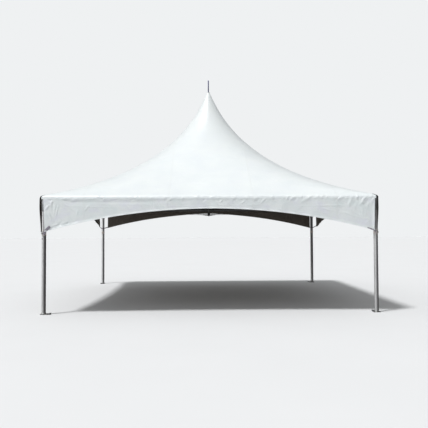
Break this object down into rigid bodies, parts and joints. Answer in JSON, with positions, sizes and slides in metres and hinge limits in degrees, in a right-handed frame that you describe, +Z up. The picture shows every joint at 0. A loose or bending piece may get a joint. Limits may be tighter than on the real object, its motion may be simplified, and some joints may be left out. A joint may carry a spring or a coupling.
{
  "type": "marquee tent",
  "caption": "Square frame marquee with a high peak on a cable-held mast, arched valances and tube legs.",
  "frame": {"origin": "centre of the plan, on the ground under the mast", "axes": "+Z up, -Y towards the front that the picture shows, +X to its right"},
  "size_m": [6.216, 6.216, 5.125],
  "materials": {
    "aluminium_tube": "mill-finish extruded aluminium tube, faint draw lines",
    "cast_aluminium": "cast aluminium, fine grain",
    "painted_steel": "dark painted steel plate, scuffed",
    "galvanised_wire": "galvanised wire rope and forged fittings",
    "white_vinyl": "white blockout vinyl-coated polyester, satin outside, dark inside",
    "white_plastic": "white moulded plastic",
    "grey_webbing": "grey woven webbing",
    "anodised_spike": "blue-grey anodised aluminium, satin"
  },
  "bodies": {
    "root": {"base_plate_front_left": "painted_steel", "base_plate_front_right": "painted_steel", "base_plate_rear_left": "painted_steel", "base_plate_rear_right": "painted_steel", "canopy_roof": "white_vinyl", "corner_fitting_front_left": "cast_aluminium", "corner_fitting_front_right": "cast_aluminium", "corner_fitting_rear_left": "cast_aluminium", "corner_fitting_rear_right": "cast_aluminium", "corner_strap_front_left": "grey_webbing", "corner_strap_front_right": "grey_webbing", "corner_strap_rear_left": "grey_webbing", "corner_strap_rear_right": "grey_webbing", "cross_cable_front_left": "galvanised_wire", "cross_cable_front_right": "galvanised_wire", "cross_cable_rear_left": "galvanised_wire", "cross_cable_rear_right": "galvanised_wire", "crown_cap": "white_plastic", "eave_rail_front_left": "aluminium_tube", "eave_rail_front_right": "aluminium_tube", "eave_rail_left_front": "aluminium_tube", "eave_rail_left_rear": "aluminium_tube", "eave_rail_rear_left": "aluminium_tube", "eave_rail_rear_right": "aluminium_tube", "eave_rail_right_front": "aluminium_tube", "eave_rail_right_rear": "aluminium_tube", "leg_front_left": "aluminium_tube", "leg_front_right": "aluminium_tube", "leg_rear_left": "aluminium_tube", "leg_rear_right": "aluminium_tube", "mast": "aluminium_tube", "mast_hub": "cast_aluminium", "peak_spike": "anodised_spike", "rail_joint_front": "cast_aluminium", "rail_joint_left": "cast_aluminium", "rail_joint_rear": "cast_aluminium", "rail_joint_right": "cast_aluminium", "turnbuckle_front_left": "galvanised_wire", "turnbuckle_front_right": "galvanised_wire", "turnbuckle_rear_left": "galvanised_wire", "turnbuckle_rear_right": "galvanised_wire", "valance_front": "white_vinyl", "valance_left": "white_vinyl", "valance_rear": "white_vinyl", "valance_right": "white_vinyl"}
  },
  "joints": []
}
